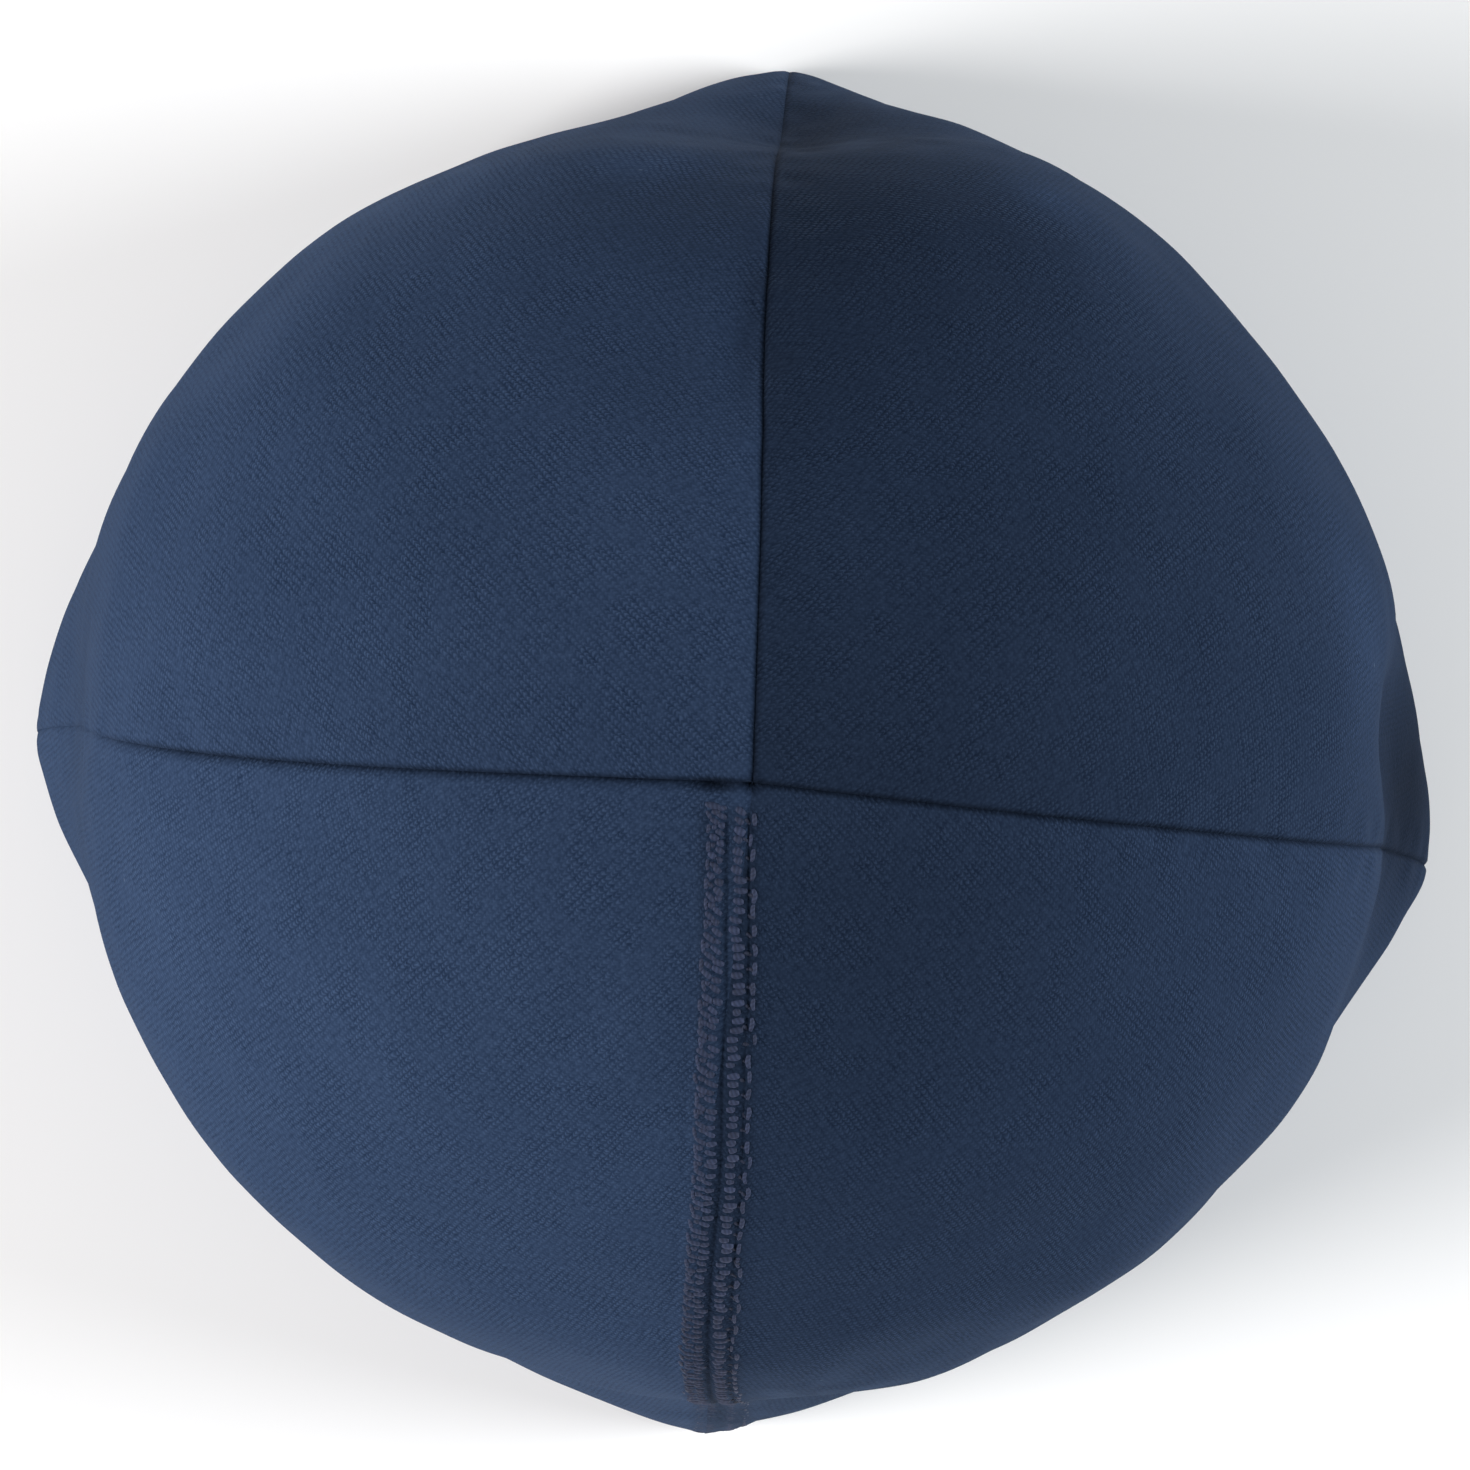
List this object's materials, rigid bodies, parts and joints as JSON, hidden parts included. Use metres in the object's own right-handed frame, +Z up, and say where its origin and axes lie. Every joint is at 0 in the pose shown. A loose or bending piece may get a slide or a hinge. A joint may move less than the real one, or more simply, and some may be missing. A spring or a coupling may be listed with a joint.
{
  "type": "reversible beanie",
  "caption": "Soft reversible beanie with a full round crown of sewn jersey panels, a flatlock seam at the back and an open rim.",
  "frame": {"origin": "middle of the hat's outline, on the surface that its rim stands on", "axes": "+Z up from the rim to the crown point, +Y towards the forehead, +X to the wearer's right as seen from above with the forehead up"},
  "size_m": [0.1892, 0.1854, 0.1489],
  "materials": {
    "jersey": "matte navy jersey knit, fine diagonal rib, slight fuzz",
    "seam_thread": "matte dark violet-navy sewing thread over navy jersey"
  },
  "bodies": {
    "root": {"panel_front_right": "jersey", "panel_front_left": "jersey", "panel_back_left": "jersey", "panel_back_right": "jersey", "closing_seam": "seam_thread"}
  },
  "joints": []
}
